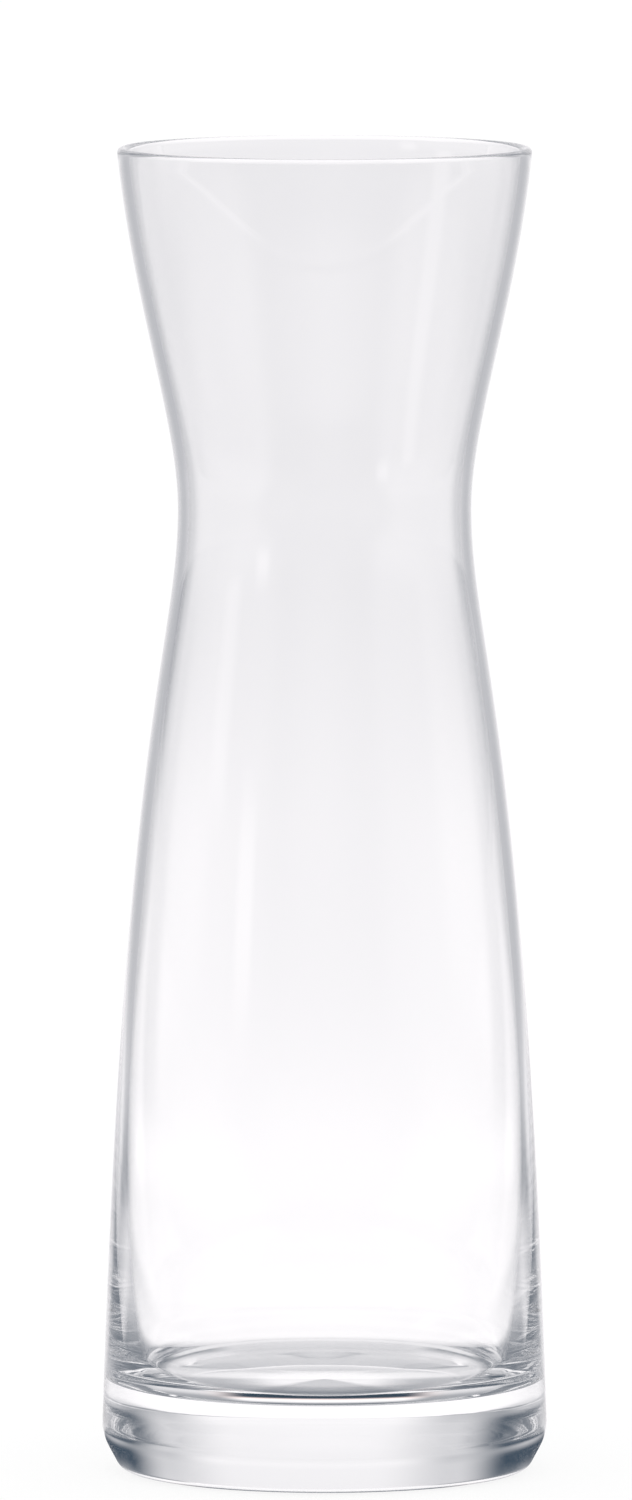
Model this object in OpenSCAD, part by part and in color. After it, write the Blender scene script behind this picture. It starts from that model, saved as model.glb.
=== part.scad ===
// Water carafe of clear blown glass: heavy solid base, body drawn in to a waist, flared mouth.
// Millimetres, +Z up. The origin is the centre of the resting face.

/* [Overall] */
// Height from the table to the top of the rim
height = 275; // [255:1:320]
// Widest diameter, just above the heel
base_d = 92.6; // [86:0.1:110]
// Outer diameter at the waist
waist_d = 60.8; // [50:0.1:70]
// Outer diameter of the mouth
mouth_d = 85.8; // [74:0.1:100]
// Height of the waist above the table
waist_z = 200.4; // [175:0.1:215]

/* [Outer curve] */
// Inward lean of the body wall where it leaves the heel, in degrees
body_lean = 1.8; // [0.5:0.1:4]
// Outward lean of the wall at the mouth, in degrees
mouth_lean = 5.9; // [0:0.1:12]
// How far the body keeps the heel's direction, as a share of the body's height
body_straight_share = 0.78; // [0.5:0.01:0.9]
// How far the waist keeps upright below its narrowest place, as a share of the body's height
waist_under_share = 0.148; // [0.05:0.001:0.3]
// How far the waist keeps upright above its narrowest place, as a share of the mouth's height
waist_over_share = 0.233; // [0.1:0.001:0.4]
// How far the mouth keeps its own lean, as a share of the mouth's height
mouth_straight_share = 0.43; // [0.2:0.01:0.6]

/* [Heel and underside] */
// Height of the heel, a steep bevel round the foot of the base
heel_h = 7.5; // [4:0.5:12]
// How far the bevel draws the heel in
heel_w = 4; // [1:0.5:8]
// Length of the rounding at the bevel's lower edge
heel_edge = 2; // [0.5:0.1:4]
// Length of the rounding where the bevel meets the wall
heel_shoulder = 2.5; // [0.5:0.1:5]
// Width of the flat ring that the carafe rests on
rest_ring_w = 4; // [2:0.5:8]
// Depth of the shallow hollow under the base
punt_depth = 1.2; // [0.5:0.1:5]

/* [Glass] */
// Wall of the body, waist and mouth
wall = 2.2; // [1.6:0.1:3.5]
// Thickness of the solid base at its middle, above the hollow of the underside
base_t = 16.2; // [8:0.1:24]
// Extra wall that the heavy base adds where the wall meets the inner floor
heel_wall_extra = 5.5; // [2:0.1:9]
// Height above the inner floor at which that extra wall has faded out
heel_wall_rise = 89; // [30:1:110]
// Width of the rounded corner between inner floor and wall
floor_corner_w = 5; // [2:0.5:12]
// Height of that corner
floor_corner_h = 8; // [2:0.5:14]

/* [Hidden] */
// Facets of every round, which stand for true circles
$fn = 128;
// Straight steps along the body, the mouth and the two kinds of small round
body_steps = 40;
mouth_steps = 20;
corner_steps = 12;
base_r = base_d / 2;
waist_r = waist_d / 2;
mouth_r = mouth_d / 2;
// The rim is fire polished to a full round, as thick as the wall
lip_r = wall / 2;
lip_z = height - lip_r;
floor_z = punt_depth + base_t;
body_h = waist_z - heel_h;
mouth_h = lip_z - waist_z;
// Corners of the bevel, its direction, and the room that its two roundings have
bevel_foot = [base_r - heel_w, 0];
bevel_top = [base_r, heel_h];
bevel_l = norm(bevel_top - bevel_foot);
bevel_way = (bevel_top - bevel_foot) / bevel_l;
edge_l = min(heel_edge, bevel_l / 2);
shoulder_l = min(heel_shoulder, bevel_l / 2);
wall_foot_z = heel_h + shoulder_l;
// Inner edge of the resting ring
ring_r = base_r - heel_w - edge_l - rest_ring_w;

// Control points of the two curves of the outer wall
BODY = [
    [base_r, heel_h],
    [base_r - body_h * body_straight_share * sin(body_lean),
     heel_h + body_h * body_straight_share * cos(body_lean)],
    [waist_r, waist_z - body_h * waist_under_share],
    [waist_r, waist_z]
];
MOUTH = [
    [waist_r, waist_z],
    [waist_r, waist_z + mouth_h * waist_over_share],
    [mouth_r - mouth_h * mouth_straight_share * sin(mouth_lean),
     lip_z - mouth_h * mouth_straight_share * cos(mouth_lean)],
    [mouth_r, lip_z]
];

// Point of a cubic curve at t from 0 to 1
function curve(c, t) =
    pow(1 - t, 3) * c[0] + 3 * pow(1 - t, 2) * t * c[1] + 3 * (1 - t) * t * t * c[2] + pow(t, 3) * c[3];

// Point at t from 0 to 1 of the rounding that leaves a for the corner and comes to b
function rounding(a, corner, b, t) = pow(1 - t, 2) * a + 2 * (1 - t) * t * corner + t * t * b;

// Value of t at which a rising curve reaches height z, by halving
function curve_t(c, z, low = 0, high = 1, halvings = 30) =
    halvings == 0 ? (low + high) / 2 :
    curve(c, (low + high) / 2)[1] < z ? curve_t(c, z, (low + high) / 2, high, halvings - 1) :
    curve_t(c, z, low, (low + high) / 2, halvings - 1);

// Outer radius of the wall at height z, above the heel
function outer_r(z) =
    z < waist_z ? curve(BODY, curve_t(BODY, z))[0] : curve(MOUTH, curve_t(MOUTH, z))[0];

// Wall thickness at height z: even above, thicker towards the base
function wall_at(z) =
    wall + heel_wall_extra * pow(max(0, 1 - (z - floor_z) / heel_wall_rise), 3);

// Outline of the outside, from the resting ring up to the rim
function outside() = concat(
    [for (i = [0:corner_steps])
        rounding(bevel_foot - [edge_l, 0], bevel_foot, bevel_foot + bevel_way * edge_l, i / corner_steps)],
    [for (i = [0:corner_steps])
        rounding(bevel_top - bevel_way * shoulder_l, bevel_top, [outer_r(wall_foot_z), wall_foot_z],
                 i / corner_steps)],
    [for (i = [1:body_steps]) let (from = curve_t(BODY, wall_foot_z))
        curve(BODY, from + (1 - from) * i / body_steps)],
    [for (i = [1:mouth_steps]) curve(MOUTH, i / mouth_steps)]
);

// Rounded rim, from the outside over the top to the inside
function rim() =
    [for (i = [1:corner_steps]) let (a = 180 * i / corner_steps)
        [mouth_r - lip_r + lip_r * cos(a), lip_z + lip_r * sin(a)]];

// Outline of the hollow, from under the rim down to the inner floor
function inside() = concat(
    [for (i = [1:mouth_steps]) let (z = curve(MOUTH, 1 - i / mouth_steps)[1])
        [outer_r(z) - wall_at(z), z]],
    [for (i = [1:body_steps]) let (z = waist_z + (floor_z + floor_corner_h - waist_z) * i / body_steps)
        [outer_r(z) - wall_at(z), z]],
    [for (i = [1:corner_steps]) let (a = 90 * i / corner_steps)
        let (z = floor_z + floor_corner_h * (1 - sin(a)))
        [outer_r(z) - wall_at(z) - floor_corner_w * (1 - cos(a)), z]]
);

// Outline of the shallow hollow under the base, from its middle out to the resting ring
function punt() =
    [for (i = [0:corner_steps]) let (share = i / corner_steps)
        [ring_r * share, punt_depth * (1 - share * share)]];

// The whole vessel is one piece of glass
module carafe_glass()
    color([0.86, 0.9, 0.92, 0.35])
        rotate_extrude()
            polygon(concat(outside(), rim(), inside(), [[0, floor_z]], punt()));

carafe_glass();
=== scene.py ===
"""Looks of the water carafe: blown glass with its slight waves, on a white table before a white wall."""
import math

import bpy
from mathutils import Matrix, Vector, noise


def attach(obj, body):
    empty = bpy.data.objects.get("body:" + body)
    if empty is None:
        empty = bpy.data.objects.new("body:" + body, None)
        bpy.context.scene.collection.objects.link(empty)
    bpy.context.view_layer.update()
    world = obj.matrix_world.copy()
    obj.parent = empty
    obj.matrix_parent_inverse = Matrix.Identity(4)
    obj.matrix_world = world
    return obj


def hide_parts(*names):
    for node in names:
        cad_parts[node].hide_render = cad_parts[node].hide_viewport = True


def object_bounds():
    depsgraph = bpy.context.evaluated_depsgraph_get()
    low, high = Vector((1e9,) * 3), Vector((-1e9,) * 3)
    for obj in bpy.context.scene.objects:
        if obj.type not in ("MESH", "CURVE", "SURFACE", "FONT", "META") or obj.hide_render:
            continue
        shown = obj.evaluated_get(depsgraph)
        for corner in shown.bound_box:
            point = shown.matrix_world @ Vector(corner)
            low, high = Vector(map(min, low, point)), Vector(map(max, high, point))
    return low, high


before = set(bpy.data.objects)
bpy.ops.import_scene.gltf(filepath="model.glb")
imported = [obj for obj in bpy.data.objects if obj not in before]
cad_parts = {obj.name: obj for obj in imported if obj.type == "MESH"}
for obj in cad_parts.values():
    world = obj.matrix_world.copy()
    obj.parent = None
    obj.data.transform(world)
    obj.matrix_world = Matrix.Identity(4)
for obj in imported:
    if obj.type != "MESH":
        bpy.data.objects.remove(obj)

CAD_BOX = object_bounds()
CARAFE = "carafe_glass"
TOP = CAD_BOX[1][2]

# The picture is 632 x 1500. The camera's place and tilt and its lens follow from the photograph's outline:
# metres, millimetres for the lens and the sensor, and degrees.
CAMERA_AT = (0.0, -3.850, 0.507)
FOCAL_LENGTH = 298.43
SENSOR_HEIGHT = 24.0
LOOK_DOWN = 5.300
LOOK_ASIDE = 0.0264

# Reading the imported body's seam: lengths that count as nothing, digits of a metre that tell its points apart,
# and the sine of the least bend that makes a corner
TINY = 1e-6
DIGITS = 7
LEAST_BEND = 1e-3

# Smooth shape of the glass: corners of each ring, and the longest step and the largest turn from ring to ring
AROUND = 256
RING_STEP = 0.0030
RING_TURN = math.radians(5.0)
# Where a side of the outline is this many times as long as the next, their corner isn't smoothed
LONG_BESIDE_SHORT = 3.0

# Waves of blown glass on a wall: height, length from crest to crest, how many heights their middle lies in
# the glass, and a shift that sets the two walls apart. The outer waves only thin the glass, so that it stays
# within its outline.
OUTER_WAVES = (0.000008, 0.026, 1.0, 0.0)
INNER_WAVES = (0.000008, 0.034, 0.0, 0.5)
# A step up counts for less than a step aside, so the waves are longer upwards
WAVE_STEP_UP = 0.6
# Height above the table at which the waves begin, and height over which they grow there and fade at the top
WAVES_START = 0.003
WAVES_GROW = 0.004

# Fine ripples low on the outer wall: how often they turn per metre, around and up, and their height
RIPPLE_SCALE = (140.0, 140.0, 800.0)
RIPPLE_HEIGHT = 0.000003
# The distances from the axis over which the ripples come in, so that the inner wall has less of them, and the
# heights over which they come in and fade out
RIPPLE_RADII = (0.0405, 0.0425)
RIPPLE_FOOT = (0.001, 0.003)
RIPPLES_FADE_FROM, RIPPLES_FADED_OUT = 0.020, 0.070

GLASS_INDEX = 1.5
# Painted shade on glass seen on edge, as at the outline, to make it a little darker: its colour, the slants
# over which that comes in, and the heights over which it ends under the rim
EDGE_SHADE = (0.66, 0.66, 0.68, 1.0)
EDGE_SLANTS = (0.74, 0.93)
EDGE_SHADE_ENDS = (TOP - 0.0025, TOP - 0.0045)

WHITE = (1.0, 1.0, 1.0, 1.0)
BLACK = (0.0, 0.0, 0.0, 1.0)
# The glass sees surfaces in full light with a trace of violet, and darker ones cooler: a tone's two ends
LIT_WHITE = (1.004, 0.988, 1.008, 1.0)
COOL_SHADE = (0.0, 0.028, 0.062, 1.0)
# The table's white, as the camera sees it: the part that the carafe can shadow, and the rest
SHADOWED_WHITE = (0.15, 0.15, 0.15, 1.0)
OWN_WHITE = (0.87, 0.87, 0.87, 1.0)

# Tones of the room as the glass sees it, by degrees aside from the middle of the back wall. The
# white back wall turns to grey and then to black screens at both sides, and the room in front is dim.
# At the height of the table, where a grey strip of the room shows under the screens
UNDER_SCREENS = ((0, 1.0), (15, 1.0), (30, 0.6), (45, 0.35), (60, 0.6), (110, 0.5), (150, 0.3), (180, 0.3))
# Back wall and screens
SCREENS = ((0, 0.95), (12, 0.95), (30, 0.7), (50, 0.05), (150, 0.1), (180, 0.25))
# Above them, bright edges of the back wall, dark walls with a lit corner at each side, and light in front
OVER_SCREENS = ((0, 1.0), (22, 1.2), (30, 0.3), (55, 0.15), (80, 0.15), (100, 0.4), (130, 0.15), (180, 0.6))
CEILING = ((0, 0.5), (20, 0.4), (35, 0.15), (60, 0.5), (180, 0.6))
# From the table up, each with the rises, as shares of straight up, over which it takes over from the last
WALL_BANDS = (
    (None, UNDER_SCREENS),
    ((0.02, 0.16), SCREENS),
    ((0.24, 0.33), OVER_SCREENS),
    ((0.42, 0.62), CEILING),
)
# The middle of the back wall, in degrees to the right of straight behind the carafe
WALL_MIDDLE = 4.0
HALF_TURN = 180.0

# Tones of the table as the glass sees it, by metres from the middle of the base: painted light and shade. Each
# part has painted shade where the heel stands close above it. Straight behind, the table is all in the light.
BEHIND = ((0.010, 1.2), (0.030, 1.2), (0.040, 0.55), (0.060, 1.1), (0.350, 1.1), (1.300, 1.0), (2.500, 0.92))
# Further aside, painted shade of the screens begins a hand's length out
BEHIND_ASIDE = (
    (0.010, 1.2), (0.025, 0.8), (0.040, 0.8), (0.045, 0.1), (0.050, 0.9),
    (0.060, 1.2), (0.200, 0.8), (0.350, 0.3), (0.900, 0.5),
)
# Beside the carafe, the painted shade lifts again beyond the screens
BESIDE = (
    (0.010, 1.2), (0.025, 0.9), (0.036, 0.9), (0.050, 0.0), (0.075, 0.2),
    (0.130, 0.6), (0.300, 0.5), (0.500, 1.2), (0.900, 0.7),
)
# Further round, a painted ring of light, as the base would gather it, lies on the table
ASIDE_IN_FRONT = (
    (0.010, 1.0), (0.025, 0.3), (0.034, 0.4), (0.042, 0.8), (0.047, 0.0),
    (0.060, 0.0), (0.075, 0.6), (0.130, 0.2), (0.600, 0.9), (1.500, 0.6),
)
# In front, another such painted ring of light lies close in
IN_FRONT = (
    (0.010, 0.5), (0.024, 0.15), (0.035, 1.2), (0.039, 0.0), (0.060, 0.0),
    (0.095, 0.3), (0.200, 0.6), (0.900, 0.45), (4.000, 0.35),
)
# From behind round to the front, each with the degrees aside over which it takes over from the last
TABLE_PARTS = (
    (None, BEHIND),
    ((26, 36), BEHIND_ASIDE),
    ((46, 58), BESIDE),
    ((86, 102), ASIDE_IN_FRONT),
    ((130, 148), IN_FRONT),
)
# The nearest and the farthest of these metres. The tones change with the logarithm of the distance.
TABLE_NEAR, TABLE_FAR = 0.010, 4.0
TABLE_SPAN = TABLE_FAR / TABLE_NEAR
# The parts draw in towards the middle with distance: by how many degrees, and over which metres
PARTS_DRAW_IN = 16.0
DRAW_IN_OVER = (0.250, 1.600)
# Painted warm light on the table at the camera's side: its colour, the degrees aside over which it comes in,
# and the metres over which it comes in and goes out
WARM = (1.10, 0.95, 0.90, 1.0)
WARM_ASIDE = (120.0, 150.0)
WARM_FROM, WARM_TO = (0.032, 0.036), (0.046, 0.042)

# Tall soft lights in front at the left: degrees to the right of straight behind, half width in degrees, extra
# light, and the rises over which each comes in and goes out
SOFT_LIGHTS = ((-130, 5.0, 0.7, (0.00, 0.07), (0.16, 0.08)), (-105, 6.0, 0.5, (0.07, 0.12), (0.70, 0.55)))
# Their sides fade over this share of the half width, outwards and inwards
SOFT_SIDE = 0.25

TABLE_SIZE = 60.0
# The table stops just under the resting ring, so that the two faces don't share a plane
TABLE_GAP = 0.0002
# How often light may bounce: in thick clear glass it goes on far longer than elsewhere
BOUNCES = 400


def seam_outline(cad):
    """Radius and height of the outline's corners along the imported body's seam, from underside to inner floor.

    The flat inner floor has no seam, so its middle is added.
    """
    points = [cad.matrix_world @ v.co for v in cad.data.vertices]
    on_seam = [abs(p.y) < TINY and p.x > -TINY for p in points]
    key = [(abs(round(p.x, DIGITS)), round(p.z, DIGITS)) for p in points]
    beside = {}
    for edge in cad.data.edges:
        a, b = edge.vertices
        if on_seam[a] and on_seam[b] and key[a] != key[b]:
            beside.setdefault(key[a], set()).add(key[b])
            beside.setdefault(key[b], set()).add(key[a])
    walk = [min((k for k in beside if k[0] < TINY), key=lambda k: k[1])]
    while onward := beside[walk[-1]].difference(walk):
        walk.append(min(onward, key=lambda k: math.dist(k, walk[-1])))
    walk = [Vector(k) for k in walk]
    corners = walk[:1]
    for here, after in zip(walk[1:], walk[2:]):
        if abs((here - corners[-1]).normalized().cross((after - here).normalized())) > LEAST_BEND:
            corners.append(here)
    return corners + [walk[-1], Vector((0.0, walk[-1].y))]


def mirrored(way, line):
    """The direction at one end of a round arc, from that at its other end and the line between them."""
    return line * (2 * way.dot(line)) - way


def smooth_outline(corners):
    """The outline as a smooth curve through its corners, in fine steps."""
    sides = [b - a for a, b in zip(corners, corners[1:])]
    lengths = [s.length for s in sides]
    lines = [s.normalized() for s in sides]
    ways = [None] * len(corners)
    for k in range(1, len(corners) - 1):
        short, long = sorted((lengths[k - 1], lengths[k]))
        if long < short * LONG_BESIDE_SHORT:
            ways[k] = (lines[k - 1] * lengths[k] + lines[k] * lengths[k - 1]).normalized()
    fine = [corners[0]]
    for k, line in enumerate(lines):
        start, end = ways[k], ways[k + 1]
        if start is None and end is None:
            start = end = line
        start = start or mirrored(end, line)
        end = end or mirrored(start, line)
        steps = math.ceil(max(lengths[k] / RING_STEP, start.angle(end) / RING_TURN, 1))
        for step in range(1, steps + 1):
            t = step / steps
            point = (
                corners[k] * (2 * t**3 - 3 * t**2 + 1)
                + start * (lengths[k] * (t**3 - 2 * t**2 + t))
                + corners[k + 1] * (3 * t**2 - 2 * t**3)
                + end * (lengths[k] * (t**3 - t**2))
            )
            fine.append(Vector((point.x, max(point.y, 0.0))))
    return fine


def thickened(x, y, z, waves):
    """How far the waves of a wall thicken the glass at a place on it."""
    height, length, inside, shift = waves
    height *= min(1.0, max(0.0, (z - WAVES_START) / WAVES_GROW), (TOP - z) / WAVES_GROW)
    place = Vector((x, y, z * WAVE_STEP_UP + shift))
    return height * (noise.noise(place / length) - inside)


def ring_faces(low, high):
    """Faces between two rings of corners, either of which may be a single point on the axis."""
    faces = []
    for step in range(AROUND):
        onward = (step + 1) % AROUND
        if len(low) == 1:
            faces.append((low[0], high[onward], high[step]))
        elif len(high) == 1:
            faces.append((low[step], low[onward], high[0]))
        else:
            faces.append((low[step], low[onward], high[onward], high[step]))
    return faces


def glass_body(outline):
    """The carafe's glass: the outline turned round the axis, with the waves of blown glass on both walls."""
    rim = max(range(len(outline)), key=lambda k: outline[k].y)
    points, rings = [], []
    for k, (radius, height) in enumerate(outline):
        if radius < TINY:
            rings.append([len(points)])
            points.append((0.0, 0.0, height))
            continue
        waves = OUTER_WAVES if k < rim else INNER_WAVES
        along = (outline[min(k + 1, len(outline) - 1)] - outline[k - 1]).normalized()
        rings.append(range(len(points), len(points) + AROUND))
        for step in range(AROUND):
            turn = math.tau * step / AROUND
            thicker = thickened(radius * math.cos(turn), radius * math.sin(turn), height, waves)
            out = radius + along.y * thicker
            points.append((out * math.cos(turn), out * math.sin(turn), height - along.x * thicker))
    faces = [face for low, high in zip(rings, rings[1:]) for face in ring_faces(low, high)]
    mesh = bpy.data.meshes.new("carafe_body")
    mesh.from_pydata(points, [], faces)
    mesh.shade_smooth()
    glass = bpy.data.objects.new("carafe_body", mesh)
    bpy.context.scene.collection.objects.link(glass)
    return glass


def node(tree, kind, inputs=None, **settings):
    """A new node with its settings, and its inputs by name or number, set to values or linked to sockets."""
    made = tree.nodes.new(kind)
    for name, value in settings.items():
        setattr(made, name, value)
    for name, value in (inputs or {}).items():
        if isinstance(value, bpy.types.NodeSocket):
            tree.links.new(value, made.inputs[name])
        else:
            made.inputs[name].default_value = value
    return made


def maths(tree, operation, *values):
    """The result of a sum on numbers or sockets."""
    return node(tree, "ShaderNodeMath", operation=operation, inputs=dict(enumerate(values))).outputs[0]


def product(tree, first, *others):
    """All the values multiplied together."""
    for other in others:
        first = maths(tree, "MULTIPLY", first, other)
    return first


def smooth_step(tree, value, start, end):
    """0 to 1 as value goes from start to end."""
    return node(tree, "ShaderNodeMapRange", interpolation_type="SMOOTHSTEP", inputs={
        "Value": value, "From Min": start, "From Max": end, "To Min": 0.0, "To Max": 1.0}).outputs["Result"]


def parts_of(tree, vector):
    """The x, y and z of a vector."""
    return node(tree, "ShaderNodeSeparateXYZ", inputs={0: vector}).outputs


def off_axis(tree, x, y):
    """Distance from the carafe's axis."""
    return maths(tree, "SQRT", maths(tree, "ADD", product(tree, x, x), product(tree, y, y)))


def azimuth(tree, x, y):
    """Degrees to the right of straight behind the carafe, from the side of the camera."""
    return maths(tree, "DEGREES", maths(tree, "ARCTAN2", x, y))


def mixed(tree, share, low, high, **settings):
    """The colour low, turning to high as share goes from 0 to 1."""
    # A Mix node has its colours at inputs 6 and 7 and output 2
    inputs = {0: share, 6: low, 7: high}
    return node(tree, "ShaderNodeMix", inputs, data_type="RGBA", **settings).outputs[2]


def between(tree, share, low, high):
    """The number low, turning to high as share goes from 0 to 1."""
    # A Mix node has its numbers at inputs 2 and 3 and output 0
    inputs = {0: share, 2: low, 3: high}
    return node(tree, "ShaderNodeMix", inputs, data_type="FLOAT").outputs[0]


def tone_ramp(tree, share, stops):
    """The tone at a share from 0 to 1, from stops of share and tone."""
    ramp = node(tree, "ShaderNodeValToRGB", inputs={0: share})
    ramp.color_ramp.interpolation = "EASE"
    made = ramp.color_ramp.elements
    for stop, (at, tone) in zip((made[0], made[1]), (stops[0], stops[-1])):
        stop.position = at
        stop.color = (tone, tone, tone, 1.0)
    for at, tone in stops[1:-1]:
        made.new(at).color = (tone, tone, tone, 1.0)
    return ramp.outputs["Color"]


def joined_tones(tree, share, share_at, onward, parts):
    """The tone at a share along the parts' stops. Each part takes over from the last as onward grows.

    The function share_at gives the share of a stop's place.
    """
    tone = None
    for takes_over, stops in parts:
        part = tone_ramp(tree, share, [(share_at(at), value) for at, value in stops])
        if takes_over:
            part = between(tree, smooth_step(tree, onward, *takes_over), tone, part)
        tone = part
    return tone


def coloured(tree, tone):
    """The colour of a tone: the darker the cooler."""
    return mixed(tree, tone, COOL_SHADE, LIT_WHITE, clamp_factor=False)


def for_the_glass(tree, colour, otherwise):
    """The colour for rays that come by way of the glass, and another for all others."""
    path = node(tree, "ShaderNodeLightPath")
    by_glass = maths(tree, "MAXIMUM", path.outputs["Is Glossy Ray"], path.outputs["Is Transmission Ray"])
    return mixed(tree, by_glass, otherwise, colour)


def wall_ripples():
    """Node group: height of the fine ripples that the mould leaves low on the outer wall, from 0 to 1."""
    group = bpy.data.node_groups.new("wall_ripples", "ShaderNodeTree")
    group.interface.new_socket("Place", in_out="INPUT", socket_type="NodeSocketVector")
    group.interface.new_socket("Faded Out At", in_out="INPUT", socket_type="NodeSocketFloat")
    group.interface.new_socket("Height", in_out="OUTPUT", socket_type="NodeSocketFloat")
    given = group.nodes.new("NodeGroupInput").outputs
    x, y, z = parts_of(group, given["Place"])
    flat = node(group, "ShaderNodeVectorMath", operation="MULTIPLY", inputs={
        0: given["Place"], 1: RIPPLE_SCALE})
    ripple = node(group, "ShaderNodeTexNoise", noise_dimensions="3D", inputs={
        "Vector": flat.outputs[0], "Scale": 1.0, "Detail": 2.0, "Roughness": 0.55}).outputs["Fac"]
    on_outer_wall = smooth_step(group, off_axis(group, x, y), *RIPPLE_RADII)
    below = smooth_step(group, z, given["Faded Out At"], RIPPLES_FADE_FROM)
    height = product(group, ripple, on_outer_wall, below, smooth_step(group, z, *RIPPLE_FOOT))
    node(group, "NodeGroupOutput", inputs={"Height": height})
    return group


def clear_glass():
    """Clear soda-lime glass, rippled low on the outer wall, with painted shade where it is seen on edge."""
    material = bpy.data.materials.new("clear_glass")
    material.use_nodes = True
    tree = material.node_tree
    glass = tree.nodes["Principled BSDF"]
    glass.inputs["Base Color"].default_value = WHITE
    glass.inputs["Roughness"].default_value = 0.0
    glass.inputs["IOR"].default_value = GLASS_INDEX
    glass.inputs["Transmission Weight"].default_value = 1.0
    place = node(tree, "ShaderNodeTexCoord").outputs["Object"]
    ripples = node(tree, "ShaderNodeGroup", node_tree=wall_ripples(), inputs={
        "Place": place, "Faded Out At": RIPPLES_FADED_OUT})
    bump = node(tree, "ShaderNodeBump", inputs={
        "Height": ripples.outputs["Height"], "Strength": 1.0, "Distance": RIPPLE_HEIGHT})
    tree.links.new(bump.outputs["Normal"], glass.inputs["Normal"])
    # Painted shade in the base colour where the glass is seen on edge
    slant = node(tree, "ShaderNodeLayerWeight", inputs={"Blend": 0.5}).outputs["Facing"]
    under_rim = smooth_step(tree, parts_of(tree, place)["Z"], *EDGE_SHADE_ENDS)
    on_edge = product(tree, smooth_step(tree, slant, *EDGE_SLANTS), under_rim)
    tree.links.new(mixed(tree, on_edge, WHITE, EDGE_SHADE), glass.inputs["Base Color"])
    return material


def camera():
    """The photograph's camera: far off and a little above, looking slightly down."""
    eye = bpy.data.cameras.new("camera")
    eye.sensor_fit = "VERTICAL"
    eye.sensor_height = SENSOR_HEIGHT
    eye.lens = FOCAL_LENGTH
    held = bpy.data.objects.new("camera", eye)
    held.location = CAMERA_AT
    held.rotation_euler = (math.radians(90 - LOOK_DOWN), 0.0, math.radians(LOOK_ASIDE))
    bpy.context.scene.collection.objects.link(held)
    bpy.context.scene.camera = held


def table():
    """White table. The camera sees it white with the carafe's faint shadow, and the glass sees its tones, with
    painted shade and painted light.
    """
    bpy.ops.mesh.primitive_plane_add(size=TABLE_SIZE, location=(0, 0, -TABLE_GAP))
    top = bpy.context.object
    top.name = "table"
    material = bpy.data.materials.new("white_table")
    material.use_nodes = True
    tree = material.node_tree
    tree.nodes.clear()
    x, y, _ = parts_of(tree, node(tree, "ShaderNodeTexCoord").outputs["Object"])
    away = off_axis(tree, x, y)
    draw_in = product(tree, PARTS_DRAW_IN, smooth_step(tree, away, *DRAW_IN_OVER))
    aside = maths(tree, "ADD", draw_in, maths(tree, "ABSOLUTE", azimuth(tree, x, y)))
    share = maths(tree, "LOGARITHM", maths(tree, "DIVIDE", away, TABLE_NEAR), TABLE_SPAN)
    # The table's tones, with painted shade under the heel and painted rings of light
    tone = joined_tones(tree, share, lambda at: math.log(at / TABLE_NEAR, TABLE_SPAN), aside, TABLE_PARTS)
    # Painted warm light on the table at the camera's side
    warm = product(tree, smooth_step(tree, aside, *WARM_ASIDE), smooth_step(tree, away, *WARM_FROM),
                   smooth_step(tree, away, *WARM_TO))
    colour = mixed(tree, 1.0, coloured(tree, tone), mixed(tree, warm, WHITE, WARM), blend_type="MULTIPLY")
    lit = node(tree, "ShaderNodeBsdfDiffuse", inputs={"Color": for_the_glass(tree, BLACK, SHADOWED_WHITE)})
    own = node(tree, "ShaderNodeEmission", inputs={
        "Color": for_the_glass(tree, colour, OWN_WHITE), "Strength": 1.0})
    both = node(tree, "ShaderNodeAddShader", inputs={0: lit.outputs[0], 1: own.outputs[0]})
    node(tree, "ShaderNodeOutputMaterial", inputs={"Surface": both.outputs[0]})
    top.data.materials.append(material)


def studio():
    """The room: plain white to the camera and as the table's light, and its walls' tones to the glass."""
    world = bpy.data.worlds.new("studio")
    bpy.context.scene.world = world
    world.use_nodes = True
    tree = world.node_tree
    tree.nodes.clear()
    x, y, up = parts_of(tree, node(tree, "ShaderNodeTexCoord").outputs["Generated"])
    turn = azimuth(tree, x, y)
    aside = maths(tree, "ABSOLUTE", maths(tree, "SUBTRACT", turn, WALL_MIDDLE))
    share = maths(tree, "DIVIDE", aside, HALF_TURN)
    tone = joined_tones(tree, share, lambda at: at / HALF_TURN, up, WALL_BANDS)
    for at, half, extra, foot, head in SOFT_LIGHTS:
        off_middle = maths(tree, "ABSOLUTE", maths(tree, "SUBTRACT", turn, at))
        across = smooth_step(tree, off_middle, half * (1 + SOFT_SIDE), half * (1 - SOFT_SIDE))
        glow = product(tree, extra, across, smooth_step(tree, up, *foot), smooth_step(tree, up, *head))
        tone = maths(tree, "ADD", tone, glow)
    light = node(tree, "ShaderNodeBackground", inputs={
        "Color": for_the_glass(tree, coloured(tree, tone), WHITE), "Strength": 1.0})
    node(tree, "ShaderNodeOutputWorld", inputs={"Surface": light.outputs[0]})


def light_paths():
    """Lets light go on inside the heavy base and the rim as it does in glass, and shows tones as they are."""
    scene = bpy.context.scene
    scene.cycles.max_bounces = BOUNCES
    scene.cycles.glossy_bounces = BOUNCES
    scene.cycles.transmission_bounces = BOUNCES
    scene.view_settings.view_transform = "Standard"


light_paths()
camera()
body = glass_body(smooth_outline(seam_outline(bpy.data.objects[CARAFE])))
body.data.materials.append(clear_glass())
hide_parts(CARAFE)
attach(body, "root")
table()
studio()
